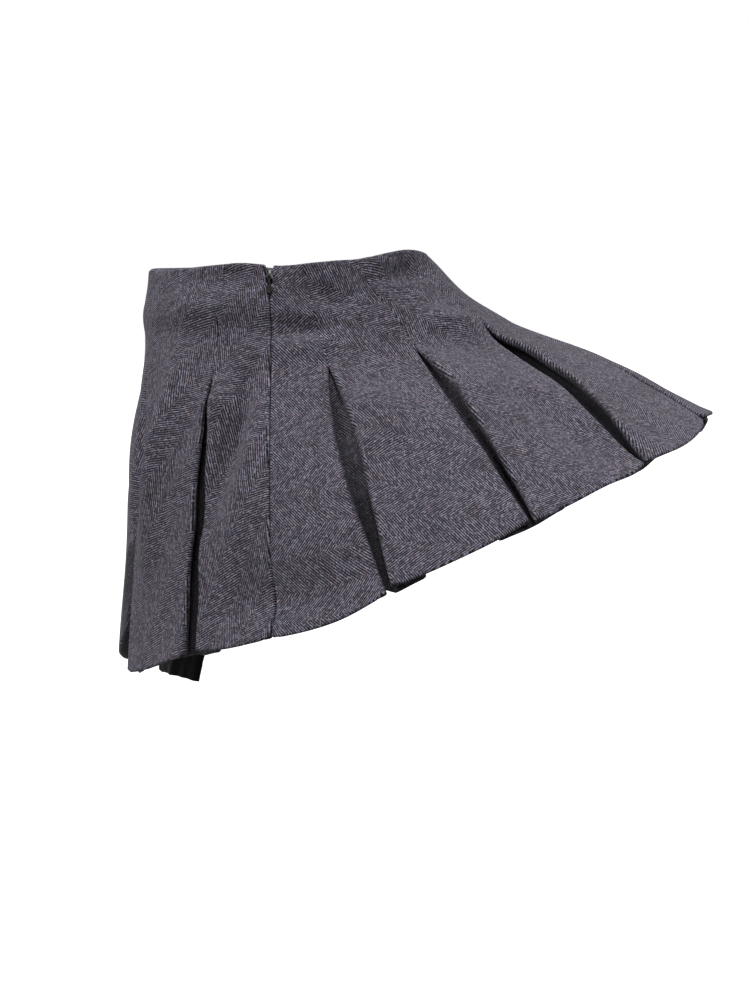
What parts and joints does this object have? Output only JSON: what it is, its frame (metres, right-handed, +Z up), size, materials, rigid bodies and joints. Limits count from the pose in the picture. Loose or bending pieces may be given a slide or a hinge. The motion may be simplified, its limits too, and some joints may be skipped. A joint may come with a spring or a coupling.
{
  "type": "pleated mini skirt",
  "caption": "Short flared skirt in dark wool herringbone, filled out as worn: inverted pleats sewn shut to the hip, a concealed side zip and a black lining.",
  "frame": {"origin": "the middle of the waist opening, level with the waist edge, where the wearer holds the skirt", "axes": "+Z up out of the waist, +X towards the wearer's left, where the zip is, +Y towards the wearer's back"},
  "size_m": [0.469, 0.4549, 0.3145],
  "materials": {
    "wool": "charcoal wool twill woven in herringbone, dry and slightly fleecy, with pale flecks",
    "wool_pleat": "the same charcoal herringbone wool, in the folds",
    "zip_tape": "black woven polyester tape with a closed nylon coil",
    "slider_metal": "gunmetal lacquer, worn bright on its edges",
    "pull_metal": "black lacquer, satin",
    "lining": "black satin lining, thin, with a soft sheen"
  },
  "bodies": {
    "skirt": {"panel_front_left": "wool", "panel_front_left_side": "wool", "panel_back_left_side": "wool", "panel_back_left_outer": "wool", "panel_back_left_inner": "wool", "panel_back_left_centre": "wool", "panel_back_right_centre": "wool", "panel_back_right_inner": "wool", "panel_back_right_outer": "wool", "panel_back_right_side": "wool", "panel_front_right_side": "wool", "panel_front_right": "wool", "panel_front_centre": "wool", "pleat_front_left_inner": "wool_pleat", "pleat_front_left_outer": "wool_pleat", "pleat_back_left_outer": "wool_pleat", "pleat_back_left_middle": "wool_pleat", "pleat_back_left_inner": "wool_pleat", "pleat_back_centre": "wool_pleat", "pleat_back_right_inner": "wool_pleat", "pleat_back_right_middle": "wool_pleat", "pleat_back_right_outer": "wool_pleat", "pleat_front_right_outer": "wool_pleat", "pleat_front_right_inner": "wool_pleat", "zip_tape": "zip_tape", "zip_slider": "slider_metal", "lining_front": "lining", "lining_back": "lining"},
    "zip_pull": {"zip_pull": "pull_metal"}
  },
  "joints": [
    {"name": "zip_pull_hinge", "type": "hinge", "parent": "skirt", "child": "zip_pull", "pos_m": [0.11773, 0.00041, -0.00938], "axis": [0.0066, -0.9993, -0.0378], "range_deg": [0, 150]}
  ]
}
